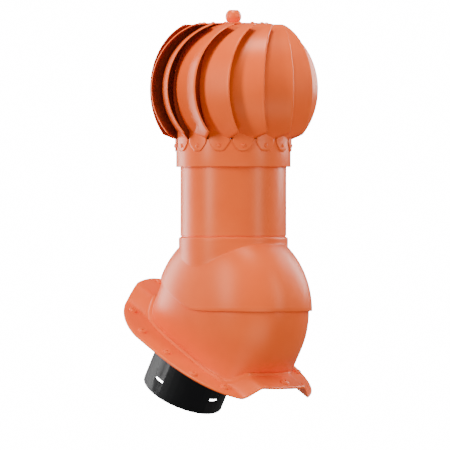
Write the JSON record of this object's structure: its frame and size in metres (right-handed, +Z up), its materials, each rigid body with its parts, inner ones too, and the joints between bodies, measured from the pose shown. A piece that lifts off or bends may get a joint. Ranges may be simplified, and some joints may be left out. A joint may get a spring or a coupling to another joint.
{
  "type": "rotating roof ventilator",
  "caption": "Wind-driven roof ventilator: vaned turning head on a pipe, tilting hood on a crested roof seat, and a black duct stub below the roof.",
  "frame": {"origin": "where the pipe axis meets the plane of the roof under the flange pans", "axes": "+Z up along the pipe, -Y down the roof slope, X along the eave"},
  "size_m": [0.258, 0.3036, 0.6077],
  "materials": {
    "terracotta_plastic": "satin",
    "painted_steel": "satin",
    "duct_plastic": "satin",
    "bare_steel": "satin"
  },
  "bodies": {
    "base": {"roof_base": "terracotta_plastic", "duct_pipe": "duct_plastic"},
    "hood": {"hood": "terracotta_plastic", "outer_pipe": "painted_steel", "bearing_spider": "bare_steel", "axle": "bare_steel"},
    "rotor": {"rotor_collar": "painted_steel", "top_disc": "painted_steel", "knob": "painted_steel", "vane_01": "painted_steel", "vane_02": "painted_steel", "vane_03": "painted_steel", "vane_04": "painted_steel", "vane_05": "painted_steel", "vane_06": "painted_steel", "vane_07": "painted_steel", "vane_08": "painted_steel", "vane_09": "painted_steel", "vane_10": "painted_steel", "vane_11": "painted_steel", "vane_12": "painted_steel", "vane_13": "painted_steel", "vane_14": "painted_steel", "vane_15": "painted_steel", "collar_rivet_01": "painted_steel", "collar_rivet_02": "painted_steel", "collar_rivet_03": "painted_steel", "collar_rivet_04": "painted_steel", "collar_rivet_05": "painted_steel", "collar_rivet_06": "painted_steel", "collar_rivet_07": "painted_steel", "collar_rivet_08": "painted_steel", "collar_rivet_09": "painted_steel", "collar_rivet_10": "painted_steel", "collar_rivet_11": "painted_steel", "collar_rivet_12": "painted_steel", "collar_rivet_13": "painted_steel", "collar_rivet_14": "painted_steel", "collar_rivet_15": "painted_steel", "top_rivet_01": "painted_steel", "top_rivet_02": "painted_steel", "top_rivet_03": "painted_steel", "top_rivet_04": "painted_steel", "top_rivet_05": "painted_steel", "top_rivet_06": "painted_steel", "top_rivet_07": "painted_steel", "top_rivet_08": "painted_steel", "top_rivet_09": "painted_steel", "top_rivet_10": "painted_steel", "top_rivet_11": "painted_steel", "top_rivet_12": "painted_steel", "top_rivet_13": "painted_steel", "top_rivet_14": "painted_steel", "top_rivet_15": "painted_steel"}
  },
  "joints": [
    {"name": "hood_tilt", "type": "hinge", "parent": "base", "child": "hood", "pos_m": [0, 0, 0.08], "axis": [1, 0, 0], "range_deg": [-8, 15]},
    {"name": "rotor_spin", "type": "hinge", "parent": "hood", "child": "rotor", "pos_m": [0, 0, 0.4], "axis": [0, 0, 1], "continuous": true}
  ]
}
